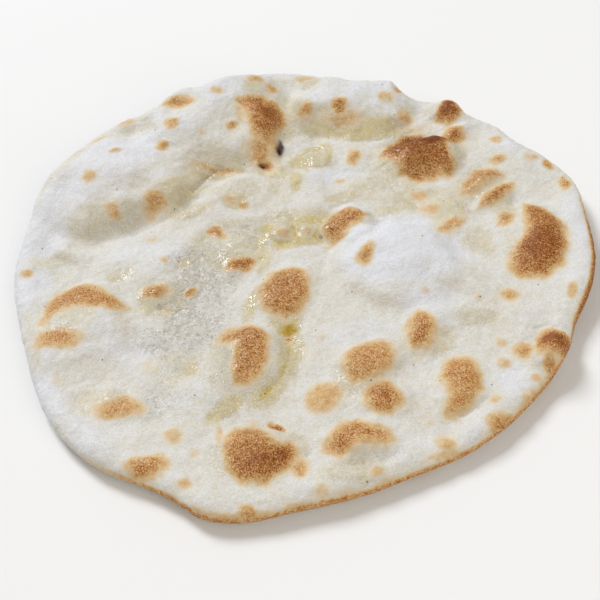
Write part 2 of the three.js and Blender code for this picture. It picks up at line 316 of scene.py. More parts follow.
# %% Round spots
ROUND_SPOTS = [  # x, y, half length, half width, turn, tone
    # on the two long pillows at the far left
    (-62, 90, 3.8, 3.5, 12, 0.43), (-67, 77, 3.6, 3.5, 0, 0.48), (-47, 85, 2.2, 2.2, 0, 0.22),
    (-31, 90, 3, 3.4, 0, 0.5), (-12, 99, 6.5, 9, 15, 0.88), (-26, 98, 3.5, 8, 10, 0.26),
    (-16.5, 73, 5, 9, 10, 0.49), (-17, 74, 10, 12, 0, 0.2), (-14, 66.5, 4.2, 3, -15, 0.66),
    (-10, 79, 3, 6.5, -12, 0.36), (-17, 124, 4.2, 3.6, 0, 0.42), (-9, 118, 3.4, 4.8, 0, 0.5),
    (-38, 112, 4, 3.4, 0, 0.32), (-87, 100, 4.6, 3, 35, 0.28), (-101, 87, 6, 3.8, 38, 0.34),
    (-91, 73, 3, 1.8, 8, 0.34), (-116, 63, 4.5, 2, 30, 0.14), (-103, 54, 4, 3.8, 0, 0.38),
    (-90, 35, 5.4, 3.6, -35, 0.36), (-70, 41, 6.2, 6.4, 0, 0.46), (-73, 36, 5, 5, 0, 0.3),
    (-39, 64.5, 14, 2.8, -8, 0.38), (-73, 20, 3.4, 1.8, 0, 0.22), (10, 128, 5.4, 3.4, 0, 0.34),
    # on and round the low pillow at the left edge
    (-130, 0, 3, 2.8, 0, 0.36), (-111, -43.5, 11, 5.2, 0, 0.54), (-108, -43, 5, 3, 0, 0.6),
    (-118, -33, 3, 3, 0, 0.3), (-109, -64, 3, 4, 0, 0.14),
    # on the thin sheet in the middle
    (-69, -15, 6.2, 4.6, 0, 0.62), (-52, -16, 2.8, 2.8, 0, 0.58), (-30, -2, 6.8, 4.8, 8, 0.82),
    (-26, 0, 4, 2.8, 10, 0.72), (-41, 21, 4.2, 3, -10, 0.66), (-37, 18, 3, 2, -30, 0.4),
    (-65, 4, 2, 1.2, 0, 0.36), (-33, 42, 4.4, 4, 0, 0.3), (-27, 38, 3.2, 3, 0, 0.44),
    (-8, 15, 4.6, 2.6, -35, 0.32), (4, 15, 2.8, 2, 0, 0.3), (10, 12, 2, 2, 0, 0.4),
    (-65, -26, 2.6, 1.4, -8, 0.24), (-70, -60, 3.5, 4, 0, 0.14), (-52, -61, 3.4, 6, 0, 0.14),
    (-55, 2, 4, 3, 0, 0.14),
    # along the far edge and down the right side
    (9, 99, 4, 5.6, 0, 0.52), (27, 100, 4.2, 4.6, 0, 0.66), (28, 92, 11, 5, -8, 0.35),
    (52, 103, 4.6, 4, 0, 0.32), (59, 108, 3, 2, 40, 0.5), (61, 91, 4.2, 4.8, 20, 0.4),
    (63, 84, 12, 3.6, -8, 0.2), (84, 93, 4.4, 2.6, 20, 1.1), (69, 69, 12, 7, -15, 1.2),
    (32, 66, 4.4, 6, 0, 0.42), (104, 66, 3.4, 3.2, 0, 0.34), (103, 52, 4.6, 3.6, 0, 0.44),
    (99, 11, 4.2, 5.6, 0, 0.5), (111, -11, 12, 9.5, 65, 0.89), (120, 50, 4, 3, 0, 0.28),
    (127, 44, 2.8, 2.6, -50, 0.56), (131, 30, 3, 5, 0, 0.56), (119, -39, 2.6, 4, 0, 0.34),
    (123, -45, 3.6, 2, 40, 0.55),
    # round the great white dome
    (23, 51, 3.4, 2, 0, 0.3), (61, 35, 4.8, 4.6, 0, 0.36), (65, 23, 5, 4.6, 0, 0.34),
    (73, 11, 8, 4, 35, 0.46), (30, -8, 4.2, 6.4, -20, 0.54), (54, -32, 2.4, 2.6, 0, 0.2),
    (77, -36, 2.3, 2.5, 0, 0.2), (92, -36, 4.6, 4, 0, 0.44), (14, 5, 4, 2, 20, 0.2),
    # along the near edge
    (-82, -81, 11, 5.6, 0, 0.52), (-83, -82, 7, 3.4, 0, 0.54), (-69, -111, 9, 6, -5, 0.58),
    (-70, -113, 6, 3, -5, 0.64), (-59, -97, 4.4, 4.4, 0, 0.32), (-50, -106, 2.6, 2.4, 0, 0.2),
    (-54, -120, 3.2, 2.4, 0, 0.36), (-15, -111, 6, 4.5, 0, 0.93), (-23, -114, 11, 5.4, 0, 0.92),
    (-8, -117, 4.4, 4.2, 0, 0.52), (-40, -98, 2, 6, 0, 0.28), (-16, -96, 3, 1.1, -50, 0.8),
    (-29, -135, 5, 3, 0, 0.5), (4, -83, 7.4, 9, -20, 0.4), (29, -87, 8, 8, 0, 0.68),
    (29, -86, 5, 4.5, 0, 0.86), (9, -105, 4, 4, 30, 0.72), (16, -102, 4, 3, 0, 0.7),
    (60, -79, 6, 6, 0, 0.66), (83, -62, 2.8, 2.8, 0, 0.28), (81, -73, 2.6, 3.6, 0, 0.3),
    (91, -68, 4.4, 4.4, 0, 0.46), (100, -79, 2.8, 4.6, -10, 0.58), (93, -83, 2.6, 2.4, 0, 0.32),
    (97, -84, 1.6, 2, 0, 0.24), (75, -92, 3, 2.8, 0, 0.3), (74, -104, 5.6, 6, 40, 0.54),
    (51, -111, 4.4, 4.2, 20, 0.38), (46, -66, 2, 2, 0, 0.12), (22, -122, 3.2, 2.8, 0, 0.34),
    (0, -129, 4.4, 3, 0, 0.24), (5, -50, 2.4, 2.7, 0, 0.12), (46, -100, 2.2, 2.2, 0, 0.18),
    (-3, -57, 3.4, 3.4, 0, 0.12), (-8.5, -49, 2.0, 0.8, 0, 0.7), (137, -20, 5, 17, -6, 0.46),
    (130, -44, 4, 9, -35, 0.3), (-7, -134, 9, 2.4, 0, 0.3), (88, -94, 9, 2.8, 45, 0.36),
    (50, -116, 8, 2.4, 12, 0.32), (78, -103, 5, 2.4, 35, 0.5),
]

# %% Large spots
LARGE_SPOTS = [  # tone at the far side, tone at the near side, and the outline's corners
    # the crescent at the left edge
    (0.72, 0.52, [(-121, -30), (-119, -20.5), (-115, -13.5), (-109, -9), (-102, -9), (-94.5, -12.5),
                  (-85.5, -20), (-80, -24), (-86, -27.5), (-93, -27), (-100, -27), (-107, -28.5),
                  (-113, -29.5), (-117.5, -32)]),
    # on the far pillows, and the knob on the far edge
    (0.85, 0.42, [(-69, 109), (-63, 113), (-54, 112), (-49, 107), (-54, 103), (-64, 103)]),
    (0.78, 0.66, [(-28, 107), (-22, 110), (-13, 111), (-7, 107), (-3, 102), (-2, 96), (-5, 90), (-8.5, 83),
                  (-13.5, 77), (-18, 79), (-20.5, 85), (-22, 92), (-24.5, 99)]),
    (1.25, 0.95, [(76.5, 86.5), (78.5, 91.5), (84, 95.5), (90.5, 91), (88.5, 85.5), (83, 82)]),
    # the darkest one, and the one beside it
    (1.12, 0.56, [(44, 64), (49.5, 72), (58, 79), (68, 80), (76, 72), (80, 62), (82, 51.5), (79.5, 45),
                  (73.5, 47), (68, 44), (60, 44.5), (53, 49), (51, 57)]),
    (0.84, 0.66, [(76.5, 65.5), (78.5, 74), (83, 80.5), (89.5, 77), (90, 70.5), (83.5, 66.5)]),
    # the two ripples and the great spot at the right
    (0.62, 0.5, [(78.5, 29.5), (83.5, 41), (90.5, 47.5), (98, 48), (104, 43), (103.5, 39), (97, 37),
                 (90, 31)]),
    (0.82, 0.6, [(87.5, 20.5), (90.5, 27.5), (98, 34), (107.5, 35.5), (105.5, 27.5), (99.5, 23.5),
                 (94, 21)]),
    (0.74, 0.8, [(109, 21), (115, 16), (121, 8), (125, 0), (125, -10), (119, -22), (110, -28), (98, -25.5),
                 (94.5, -19.5), (96, -13), (100.5, -7), (105, -1), (106, 10)]),
    # on the small pillows in the middle
    (0.7, 0.62, [(-21.5, -30), (-20, -18), (-15, -9.5), (-6, -8.5), (1, -11), (3, -19), (1.5, -29),
                 (-3, -37), (-9, -40), (-16, -36)]),
    (0.66, 0.6, [(-41.5, -47.5), (-36, -42.5), (-25, -42), (-18.5, -46), (-16.5, -58), (-20, -69.5),
                 (-25.5, -76.5), (-32.5, -75), (-35.5, -67.5), (-33.5, -60.5), (-33.5, -54.5),
                 (-38.5, -51.5)]),
    (0.76, 0.64, [(12, 10), (12.5, 17), (14.5, 22.5), (18.5, 26), (23.5, 26), (29, 24), (33.5, 20),
                  (31, 15), (25.5, 11), (20, 8), (15.5, 6)]),
    # the near half
    (0.6, 0.76, [(43, -52), (44.5, -46), (47.5, -41.5), (51, -40.5), (54.5, -44), (56, -51.5),
                 (54.5, -58.5), (51, -62), (47, -63), (44, -59.5)]),
    (0.5, 0.58, [(12.5, -69.5), (15.5, -62), (20.5, -57), (28, -55), (34.5, -56.5), (37.5, -62.5),
                 (35.5, -70), (30.5, -76), (22, -80), (15.5, -79)]),
    (0.6, 0.57, [(53.5, -82), (55.5, -73), (59, -67), (65, -65.5), (70.5, -71), (72, -80), (70.5, -88),
                 (65, -94), (58, -98.5), (53, -98), (52.5, -93), (55, -88)]),
    (0.68, 0.64, [(2, -110.5), (5, -102.5), (10, -97), (17, -96.5), (22, -100), (29, -101.5), (31.5, -107),
                  (28, -111), (22, -110.5), (17, -109.5), (14, -112), (8, -115)]),
    (0.58, 0.84, [(-39, -108), (-38, -100), (-33, -95), (-26, -93.5), (-20, -97), (-16.5, -105),
                  (-11, -104), (-8, -108), (-8, -112.5), (-13, -118.5), (-22, -124), (-31, -122),
                  (-37, -115.5)]),
    (1.15, 0.72, [(95, -67), (98.5, -61.5), (105, -59), (110, -64), (114, -69), (113, -79), (108, -79),
                  (105, -76), (101, -75), (97, -73)]),
]
CHARRED = [  # x, y, half length, half width, turn: the two holes, and a crumb between the bubbles
    (-6.6, 79.2, 2.1, 4.8, -13), (-15.5, 66.5, 2.8, 1.4, -15), (10.5, 10.5, 0.7, 0.7, 0),
]
print("spots:", len(ROUND_SPOTS) + len(LARGE_SPOTS))

# %% [markdown]
# ## Ragged, soft edges
# Real spots have ragged, soft edges: the places are moved by a smooth random field before the shapes are
# read, and the tone fades over a few millimetres, less for a small spot than for a large one, which also
# darkens on towards its middle. The result is kept on the mesh as an attribute, which the material reads
# as a mask.


# %% Inside an outline
def outline_inset(at, corners):
    """How far each place lies inside a closed outline, in millimetres, and below 0 outside it."""
    corners = np.array(corners, float)
    nearest = np.full(len(at), np.inf)
    inside = np.zeros(len(at), bool)
    for start, end in zip(corners, np.roll(corners, -1, axis=0)):
        nearest = np.minimum(nearest, distance_to_stretch(at, start, end))
        run, away = end - start, at[:, :2] - start
        spans = (start[1] > at[:, 1]) != (end[1] > at[:, 1])
        inside ^= spans & ((run[0] * away[:, 1] > run[1] * away[:, 0]) == (run[1] > 0))
    return np.where(inside, nearest, -nearest)


# %% How tones fade
FADE_OUTSIDE, FADE_INSIDE = 0.6, 0.8  # of a round spot, in shares of its half width
LEAST_OUTSIDE, MOST_OUTSIDE, MOST_INSIDE = 1.2, 2.8, 4  # and their limits in millimetres
LARGE_SPOT_FADE = (-3.3, 5.0)  # from this far outside the edge to this far inside it, in millimetres
CORE_FADE = (4, 13)
PLAIN_SHARE, CORE_SHARE = 0.97, 0.1  # what a large spot has of its tone, and gains towards its middle


def browning(at, round_spots, large_spots=()):
    """The highest tone that any spot gives each place."""
    level = np.zeros(len(at))
    for *spot, tone in round_spots:
        half = min(spot[2:4])
        outside = min(max(FADE_OUTSIDE * half, LEAST_OUTSIDE), MOST_OUTSIDE)
        inside = min(FADE_INSIDE * half, MOST_INSIDE)
        level = np.maximum(level, tone * smooth_step(ellipse_inset(at, spot), -outside, inside))
    for far_tone, near_tone, corners in large_spots:
        ends = sorted(y for _, y in corners)
        tone = np.interp(at[:, 1], (ends[0], ends[-1]), (near_tone, far_tone))
        inset = outline_inset(at, corners)
        core = CORE_SHARE * smooth_step(inset, *CORE_FADE)
        level = np.maximum(level, tone * (PLAIN_SHARE * smooth_step(inset, *LARGE_SPOT_FADE) + core))
    return level


# %% Brown the bread
CHAR_FADE = (-0.7, 0.9)
ragged = wander(wander(at, size=8, reach=2.0, seed=2.5), size=2.8, reach=0.7, seed=4.5)
toast = browning(ragged, ROUND_SPOTS, LARGE_SPOTS)
charred = np.max([ellipse_inset(ragged, spot) for spot in CHARRED], axis=0)
char = smooth_step(charred, *CHAR_FADE)
print("browned share of the top:", round(float((toast[TOP] > 0.3).mean()), 3))

# %% [markdown]
# ## The toasted edge
# The rim of the bread is thin and bakes first: it carries a narrow brown line, strongest on the right and
# along the near side, and a faint patchy blush inside it. How far a vertex lies in from the edge is its
# distance to the outermost vertex at its bearing.

# %% How far in from the edge each vertex lies
BEARINGS = 720
radius = np.hypot(at[:, 0], at[:, 1])
direction = np.arctan2(at[:, 1], at[:, 0])
bearing = (np.degrees(direction) * BEARINGS / 360).astype(int) % BEARINGS
outermost = np.zeros(BEARINGS)
np.maximum.at(outermost, bearing, radius)
inset = outermost[bearing] - radius
print("radius of the edge:", round(outermost[bearing].min(), 1), "to", round(outermost.max(), 1), "mm")


# %% Toast the edge
def near_bearing(middle, low, high):
    """1 round a bearing in degrees, falling to 0 as the cosine of the turn away from it falls to low."""
    return smooth_step(np.cos(direction - math.radians(middle)), low, high)


LINE_WIDTH, WIDER_WHERE_DARKEST = 1.6, 1.8  # in millimetres
LINE_TONE, DARKER_WHERE_DARKEST = 0.6, 0.3
BLUSH_TONE, BLUSH_WIDTH, BLUSH_PATCHES = 0.36, 4.5, 9  # the last two in millimetres
BLUSH_CONTRAST, BLUSH_OFFSET, BLUSH_SEED = 1.5, -0.1, 9.5
near_and_right = near_bearing(-58, 0.1, 0.6)
darkest = near_bearing(-10, 0.95, 0.995)
line_width = LINE_WIDTH + WIDER_WHERE_DARKEST * darkest
line = (LINE_TONE + DARKER_WHERE_DARKEST * darkest) * smooth_step(-inset / line_width, -1, -0.1)
lumps = [noise.noise(Vector((x / BLUSH_PATCHES, y / BLUSH_PATCHES, BLUSH_SEED))) for x, y in at[:, :2]]
patchy = np.clip(BLUSH_CONTRAST * (0.5 + np.array(lumps)) + BLUSH_OFFSET, 0, 1)
blush = BLUSH_TONE * smooth_step(-inset, -BLUSH_WIDTH, 0) * patchy
rim = np.maximum(line, blush) * near_and_right
print("rim vertices:", int((inset < 2).sum()))

# %% [markdown]
# ## Crests and flanks, with painted light and shade
# Crests dry out and stay floury white, while the sheet between them stays moist. The crests are also made
# paler as painted light, where the lamp falls on them, and the steep flanks creamier and darker as painted
# shade. A crest is what stands higher than the bread around it. So the heights are averaged over a coarse
# grid, once finely for the slope and once widely for the surroundings, and each vertex is set against both.

# %% Height against the surroundings
CELL = 3.0  # millimetres
origin = at[:, :2].min(axis=0)
cells = np.floor((at[:, :2] - origin) / CELL).astype(int)
grid = np.zeros((2, *(cells.max(axis=0) + 1)))
np.add.at(grid[0], tuple(cells[TOP].T), at[TOP, 2])
np.add.at(grid[1], tuple(cells[TOP].T), 1)


def spread(grid, times):
    """Averages every cell with its four neighbours, a number of times, and gives the mean height of each."""
    for _ in range(times):
        grid = (grid + sum(np.roll(grid, step, axis) for step in (-1, 1) for axis in (1, 2))) / 5
    return grid[0] / np.maximum(grid[1], 1e-9)


def between_cells(values):
    """Reads the grid at every vertex, blended from the four cells round it."""
    spot = (at[:, :2] - origin) / CELL - 0.5
    low = np.clip(np.floor(spot).astype(int), 0, np.array(values.shape) - 2)
    x, y = np.clip(spot - low, 0, 1).T
    near = values[low[:, 0], low[:, 1]] * (1 - x) + values[low[:, 0] + 1, low[:, 1]] * x
    far = values[low[:, 0], low[:, 1] + 1] * (1 - x) + values[low[:, 0] + 1, low[:, 1] + 1] * x
    return near * (1 - y) + far * y


print("cells:", grid.shape[1:])

# %% How moist the plain dough is, with painted light on crests and painted shade on flanks
FULL_CREST = 3.5  # this far above its surroundings, in millimetres, a place is a crest
SLOPES = (0.2, 0.7)  # from where a slope counts as a flank to where it counts fully
CLEAR_OF_EDGE = (1, 6)
# Crests come out paler because they are dry and also as painted light; flanks come out creamier and darker
# because they are moist and also as painted shade.
MOIST, PALER_ON_CRESTS_DRY_AND_LIT, CREAMIER_ON_FLANKS_MOIST_AND_SHADED = 0.27, 0.25, 0.2
surroundings = between_cells(spread(grid, times=30))
steepness = between_cells(np.hypot(*np.gradient(spread(grid, times=2), CELL)))
crest = smooth_step(at[:, 2] - surroundings, 0, FULL_CREST)
flank = smooth_step(steepness, *SLOPES) * smooth_step(inset, *CLEAR_OF_EDGE)
moist_and_shade = MOIST - PALER_ON_CRESTS_DRY_AND_LIT * crest + CREAMIER_ON_FLANKS_MOIST_AND_SHADED * flank
print("mean crest:", round(float(crest[TOP].mean()), 2), "mean flank:", round(float(flank[TOP].mean()), 2))

# %% [markdown]
# ## Butter
# Melted butter has run into the valleys, most of all between the small bubbles in the middle and round
# the foot of the small pillow. There the dough is cream to yellow, and it shines. At the feet of the long
# pillows the cream is also painted shade, where the pillows shade their near sides. A few places are still
# dusted with flour and stay white. Both are ellipses too: the flour comes first, and over it the moistest
# pool wins. Round the foot of each small bubble the butter stands in a ring.

# %% Floury places
FLOURY = [  # x, y, half length, half width, turn, how moist
    (48, -4, 33, 25, 10, 0.0), (-86, 72, 26, 14, 32, 0.02), (-126, 26, 13, 26, -10, 0.04),
    (-130, -6, 12, 22, 0, 0.04), (-118, -72, 16, 12, -50, 0.08), (132, -4, 8, 34, 0, 0.06),
    (124, -30, 8, 12, 0, 0.14), (84, -82, 7, 9, 0, 0.04), (30, -50, 40, 8, 0, 0.16),
    (-70, 10, 24, 9, 0, 0.16), (-76, -50, 26, 10, 0, 0.16), (-92, -98, 16, 8, -45, 0.1),
    (19, 55, 14, 9, 0, 0.05), (0, 82, 5, 8, 0, 0.1), (27, 29, 8, 5, 0, 0.0), (54, -36, 16, 8, 0, 0.06),
    (-110, 50, 15, 11, 45, 0.03),
]
print("floury places:", len(FLOURY))

# %% Buttered places
# The last column is how moist a place is; at the feet of the long pillows it is also painted shade.
BUTTERED = [  # x, y, half length, half width, turn, how moist
    # round the small pillow and the spot above it
    (-8.5, -43.5, 5.4, 5, 0, 0.86), (-8.5, -45, 3, 3, 0, 1.0), (-9, -55, 9, 2.2, 85, 0.76),
    (-13, -69, 8, 2.2, 65, 0.78), (-20, -79, 7, 2.4, 40, 0.8), (-9, -58, 18, 7, 82, 0.6),
    (-20, -79, 13, 6.5, 40, 0.58), (-10, -39, 9, 6, 0, 0.66), (-24, -28, 4.5, 15, -15, 0.58),
    (-19, 5, 5, 17, 0, 0.62), (-37, -85, 13, 4.6, 38, 0.6), (-12, -22, 13, 18, 0, 0.46),
    (-30, -62, 18, 24, 0, 0.44),
    # between the two bubbles
    (-16, 19, 4.4, 8, -20, 0.74), (-4, 8, 13, 3.6, 0, 0.72), (9, 12, 3.4, 4.4, 0, 0.86),
    (-2, 16, 3, 8, 0, 0.74), (4, 24, 13, 3.6, -8, 0.7), (13, 21, 3.4, 7, -30, 0.7),
    (-2, 20, 28, 15, 0, 0.5), (-30, 12, 26, 20, 0, 0.45),
    # the valley up to the holes
    (0, 51, 4.2, 9, 0, 0.72), (3, 66, 6, 7, 0, 0.66), (-10, 61, 12, 6, -20, 0.6),
    (-5, 55, 13, 22, 0, 0.42), (-14, 70, 9, 11, 0, 0.64), (5, 66, 3, 9, 10, 0.7),
    (19, 70, 3.2, 9, 0, 0.66), (13, 77, 10, 3.4, 0, 0.6), (-2, 100, 11, 20, 0, 0.5),
    (-16, 112, 8, 18, 0, 0.46), (12, 124, 8, 10, 0, 0.5),
    # the feet of the long pillows, where the cream is butter and also painted shade
    (34, 87, 34, 8, -10, 0.7), (17, 92, 13, 9, 0, 0.58), (-40, 64, 20, 7, 8, 0.58),
    (-60, 46, 22, 10, 38, 0.56), (-52, 36, 14, 6, 20, 0.5), (-88, 34, 26, 9, 10, 0.42),
    (-118, 8, 14, 5, 10, 0.38), (-86, -4, 9, 5, 20, 0.46), (-30, 48, 18, 9, 0, 0.42),
    # the right half
    (62, 32, 20, 11, 0, 0.52), (44, 27, 9, 5, 0, 0.54), (74, 20, 10, 16, -20, 0.58),
    (85, 0, 9, 12, 0, 0.46), (24, 38, 11, 5, 0, 0.52), (64, 62, 28, 20, 0, 0.5),
    (46, 42, 23, 15, 0, 0.44), (90, 38, 18, 12, 35, 0.54), (100, 18, 7, 15, 0, 0.48),
    (76, -47, 13, 6, 0, 0.46), (51, -58, 16, 9, 0, 0.5), (20, -76, 16, 12, 0, 0.44),
    # the left half
    (-96, -61, 16, 12, 0, 0.32), (-90, -76, 14, 9, 0, 0.46), (-31, 0, 12, 8, 0, 0.54),
    (-31, 41, 7.5, 6, 0, 0.68), (-58, -60, 16, 14, 0, 0.4), (-66, -20, 15, 13, 0, 0.48),
    (-108, -32, 16, 12, 0, 0.42), (-24, -108, 24, 17, 0, 0.42), (12, -121, 16, 7, 0, 0.48),
    (-55, 2, 4, 3, 0, 0.66), (-52, -61, 4, 6, 0, 0.64),
    # the tops of the small bubbles
    (-8, 16, 6, 5, 0, 0.5), (4, 16, 5.5, 5, 0, 0.46), (12.5, 68, 8, 7, 0, 0.56),
]
RINGS = [  # x, y, radius, width, how moist
    (-8, 16, 7, 2, 0.74), (4, 16, 6.4, 2, 0.72), (12.5, 69, 7.5, 2.2, 0.7),
]
print("pools of butter:", len(BUTTERED), "rings of butter:", len(RINGS))

# %% Dust the bread and butter it, with painted shade at the pillows' feet
FLOUR_FADE = (-3, 6)  # from this far outside a floury place to this far inside it, in millimetres
BUTTER_FADE = 0.5  # of a pool's half width, on each side of its edge
LEAST_FADE, MOST_FADE = 1.8, 6  # and its limits in millimetres
dripped = wander(at, size=9, reach=1.6, seed=7.5)
for *spot, moist_and_shade_level in FLOURY:
    moist_and_shade += (moist_and_shade_level - moist_and_shade) * smooth_step(ellipse_inset(dripped, spot), *FLOUR_FADE)
for *spot, moist_and_shade_level in BUTTERED:
    fade = min(max(BUTTER_FADE * min(spot[2:4]), LEAST_FADE), MOST_FADE)
    moist_and_shade = np.maximum(moist_and_shade, moist_and_shade_level * smooth_step(ellipse_inset(dripped, spot), -fade, fade))
for x, y, radius_of_ring, width, moist_and_shade_level in RINGS:
    away = np.abs(np.hypot(dripped[:, 0] - x, dripped[:, 1] - y) - radius_of_ring)
    moist_and_shade = np.maximum(moist_and_shade, moist_and_shade_level * smooth_step(-away, -width, 0))
print("buttered share of the top:", round(float((moist_and_shade[TOP] > 0.4).mean()), 3))

# %% [markdown]
# ## The underside
# The underside baked on a hot wall. It is pale, flat in the middle and a little wavy outside it, with many
# small scorched spots that nobody placed. So they are drawn from a seeded random generator, and the
# ellipses are read as on the top.

# %% Scorched spots on the underside
SCORCHES, SCORCHES_REACH = 90, 128  # how many, and how far from the middle they go, in millimetres
SCORCH_SIZES, SCORCH_TONES = (1.5, 8), (0.25, 0.85)
random = np.random.default_rng(seed=7)
under_spots = []
for _ in range(SCORCHES):
    away = SCORCHES_REACH * math.sqrt(random.uniform(0.01, 1))  # the root spreads them evenly
    around = random.uniform(0, 2 * math.pi)
    along, across = random.uniform(*SCORCH_SIZES, 2)
    tone = random.uniform(*SCORCH_TONES)
    under_spots.append((away * math.cos(around), away * math.sin(around), along, across, 0, tone))
under_toast = browning(ragged, under_spots)
print("scorched share of the underside:", round(float((under_toast[~TOP] > 0.3).mean()), 3))


# %% Store the fields on the mesh
def store(name, values):
    """Keeps one number for each vertex as an attribute that the material can read."""
    attribute = naan.data.attributes.new(name, "FLOAT", "POINT")
    attribute.data.foreach_set("value", values.astype(np.float32))


MOIST_UNDERNEATH = 0.25
store("toast", np.maximum(np.where(TOP, toast, under_toast), rim))
store("char", np.where(TOP, char, 0))
store("moist_and_shade", np.where(TOP, moist_and_shade, MOIST_UNDERNEATH))
store("hollow", hollow)
print("attributes:", [a.name for a in naan.data.attributes if not a.name.startswith(".")])


# %% [markdown]
# ## Building materials
# A material is a tree of nodes. One helper adds a node, sets its options, and either plugs a socket in or
# gives it a plain value, so that each material below reads from top to bottom.

# %% Add a node
def add_node(tree, kind, sockets=None, **options):
    """Adds a node. Sockets are filled by name or number, from another node's output or with a value."""
    node = tree.nodes.new(kind)
    for option, value in options.items():
        setattr(node, option, value)
    for socket, value in (sockets or {}).items():
        if isinstance(value, bpy.types.NodeSocket):
            tree.links.new(value, node.inputs[socket])
        else:
            node.inputs[socket].default_value = value
    return node


# %% Numbers and colours
def calculate(tree, operation, a, b=0.0, clamp=False):
    """One sum of two numbers."""
    return add_node(tree, "ShaderNodeMath", {0: a, 1: b}, operation=operation, use_clamp=clamp).outputs[0]


def blend_colors(tree, share, a, b, mode="MIX"):
    """Mixes two colours by a share from 0 to 1."""
    sockets = {0: share, 6: a, 7: b}
    return add_node(tree, "ShaderNodeMix", sockets, data_type="RGBA", blend_type=mode).outputs[2]


def stretch(tree, value, low, high, to_low=0.0, to_high=1.0):
    """Maps low to high onto a new range, and stops at its ends."""
    sockets = {"Value": value, "From Min": low, "From Max": high, "To Min": to_low, "To Max": to_high}
    return add_node(tree, "ShaderNodeMapRange", sockets).outputs["Result"]


# %% Noise
def noise_at(tree, position, size, detail=2.0, roughness=0.5):
    """Noise from 0 to 1 with lumps of that size in millimetres."""
    sockets = {"Vector": position, "Scale": 1 / (size * MM), "Detail": detail, "Roughness": roughness}
    return add_node(tree, "ShaderNodeTexNoise", sockets).outputs["Fac"]


def patches(tree, position, size, seen, wanted=(0.0, 1.0), detail=2.0, roughness=0.5):
    """Noise of that size, of which the seen span is stretched to the wanted one."""
    return stretch(tree, noise_at(tree, position, size, detail, roughness), *seen, *wanted)


# %% Groups
def new_group(name, inputs, outputs):
    """An empty node group with named sockets: name to kind, such as Float, Vector or Color."""
    group = bpy.data.node_groups.new(name, "ShaderNodeTree")
    for direction, sockets in (("INPUT", inputs), ("OUTPUT", outputs)):
        for socket, kind in sockets.items():
            group.interface.new_socket(socket, in_out=direction, socket_type="NodeSocket" + kind)
    return group, group.nodes.new("NodeGroupInput").outputs, group.nodes.new("NodeGroupOutput").inputs


# %% [markdown]
# ## Dough
# Unbrowned dough is white where it is floury and dry, cream where it is moist, and yellow under butter.
# All of them are steps of one ramp, which runs by how moist the place is; that value also carries painted
# light on the crests and painted shade on the flanks and at the pillows' feet. Where the sheet is thin,
# small grey pits show.


# %% Ramps
def ramp_of(tree, value, steps):
    """A colour ramp that is read at a value. Each step is a place from 0 to 1 and a colour."""
    ramp = add_node(tree, "ShaderNodeValToRGB", {"Fac": value})
    for index, (place, color) in enumerate(steps):
        step = ramp.color_ramp.elements[index] if index < 2 else ramp.color_ramp.elements.new(place)
        step.position, step.color = place, color
    return ramp.outputs["Color"]


# %% The dough's colour
DOUGH_STEPS = [
    (0.00, (0.715, 0.720, 0.760, 1)),
    (0.25, (0.685, 0.668, 0.622, 1)),
    (0.45, (0.650, 0.600, 0.487, 1)),
    (0.60, (0.628, 0.552, 0.365, 1)),
    (0.75, (0.620, 0.522, 0.275, 1)),
    (0.88, (0.560, 0.415, 0.115, 1)),
    (1.00, (0.500, 0.310, 0.035, 1)),
]
GREY = (0.455, 0.425, 0.355, 1)
PIT = (0.17, 0.145, 0.10, 1)

dough, given, result = new_group(
    "Dough colour", {"Position": "Vector", "Moist and shade": "Float", "Hollow": "Float"}, {"Color": "Color"}
)
place = given["Position"]
cloudy = patches(dough, place, 15, (0.3, 0.7), (-0.07, 0.07), detail=3)
mottled = patches(dough, place, 2.6, (0.3, 0.7), (-0.13, 0.13), detail=3, roughness=0.7)
# The moist value read here also carries painted light on the crests and painted shade on the flanks and at
# the pillows' feet.
moisture_and_shade = calculate(dough, "ADD", given["Moist and shade"], calculate(dough, "ADD", cloudy, mottled), clamp=True)
grainy = patches(dough, place, 2.2, (0.36, 0.64), (0.15, 0.75), detail=3, roughness=0.6)
grey_share = calculate(dough, "MULTIPLY", given["Hollow"], grainy)
skin = blend_colors(dough, grey_share, ramp_of(dough, moisture_and_shade, DOUGH_STEPS), GREY)
pitted = patches(dough, place, 1.2, (0.58, 0.68), (0, 0.7), roughness=0.7)
skin = blend_colors(dough, calculate(dough, "MULTIPLY", given["Hollow"], pitted), skin, PIT)
crumb = patches(dough, place, 0.9, (0.35, 0.65), (0.91, 1.06), roughness=0.7)
dough.links.new(blend_colors(dough, 1.0, skin, crumb, "MULTIPLY"), result["Color"])
print("nodes for the dough's colour:", len(dough.nodes))

# %% [markdown]
# ## Browning
# Browned dough runs from straw through tan to dark brown. The tone comes from the mesh. Fine noise makes
# its border ragged and mixes pale and dark grains into it, as the skin's smallest bubbles brown first. The
# pale grains are also painted highlights, for the tiny glints on the crust. Both fade out where the tone is
# low, or the raw dough would be speckled all over.

# %% The browned colour
TOAST_STEPS = [
    (0.00, (0.69, 0.63, 0.50, 1)),
    (0.15, (0.685, 0.58, 0.43, 1)),
    (0.35, (0.63, 0.43, 0.208, 1)),
    (0.55, (0.515, 0.255, 0.074, 1)),
    (0.75, (0.39, 0.138, 0.022, 1)),
    (0.90, (0.275, 0.083, 0.010, 1)),
    (1.00, (0.180, 0.043, 0.005, 1)),
]

browned, given, result = new_group(
    "Browning", {"Position": "Vector", "Tone": "Float", "Raw": "Color"}, {"Color": "Color", "Tone": "Float"}
)
place = given["Position"]
border = patches(browned, place, 2.0, (0.3, 0.7), (-0.13, 0.13), detail=3, roughness=0.65)
border = calculate(browned, "MULTIPLY", border, stretch(browned, given["Tone"], 0.04, 0.4))
